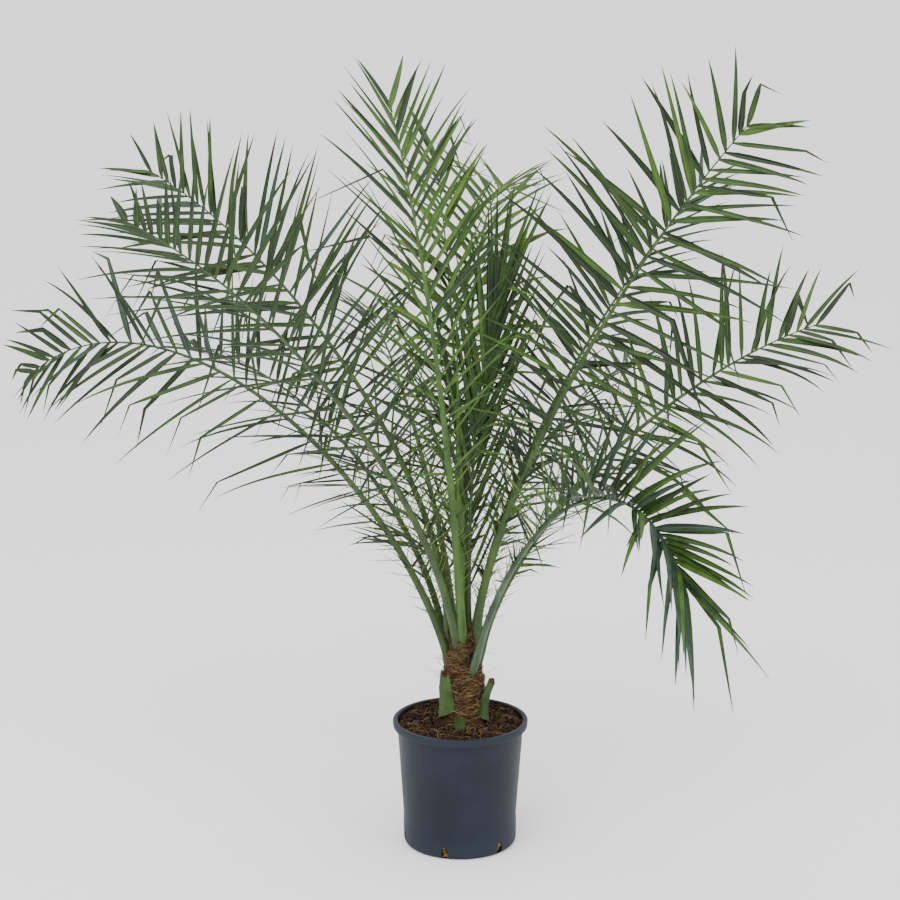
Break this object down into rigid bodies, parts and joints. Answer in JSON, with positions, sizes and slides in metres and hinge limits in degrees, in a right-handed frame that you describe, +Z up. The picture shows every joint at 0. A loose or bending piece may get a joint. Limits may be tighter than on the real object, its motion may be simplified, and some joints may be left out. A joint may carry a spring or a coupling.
{
  "type": "potted date palm tree",
  "caption": "Young date palm with a short fibrous stem, cut leaf bases and arching feather fronds, in a round plastic nursery pot filled with soil.",
  "frame": {"origin": "centre of the pot's flat underside, on the surface the pot stands on", "axes": "+Z up along the stem, +X to the right of the plant and -Y towards its front"},
  "size_m": [1.6147, 1.5603, 1.4089],
  "materials": {
    "pot_plastic": "satin",
    "potting_soil": "matte",
    "stem_fibre": "matte",
    "cut_base": "satin",
    "spear_leaf": "satin",
    "frond_leaf": "satin"
  },
  "bodies": {
    "root": {"pot": "pot_plastic", "soil": "potting_soil", "trunk": "stem_fibre", "stub_left": "cut_base", "stub_right": "cut_base", "stub_front": "cut_base", "spear": "spear_leaf", "frond_far_left": "frond_leaf", "frond_far_left_tip": "frond_leaf", "frond_upper_left": "frond_leaf", "frond_mid_left": "frond_leaf", "frond_tall_front": "frond_leaf", "frond_tall_back": "frond_leaf", "frond_bowed_back": "frond_leaf", "frond_upper_right": "frond_leaf", "frond_right_back": "frond_leaf", "frond_mid_right": "frond_leaf", "frond_low_right": "frond_leaf", "frond_low_right_tip": "frond_leaf", "frond_short_back": "frond_leaf", "frond_back_left": "frond_leaf", "frond_back": "frond_leaf", "frond_opening": "frond_leaf"}
  },
  "joints": []
}
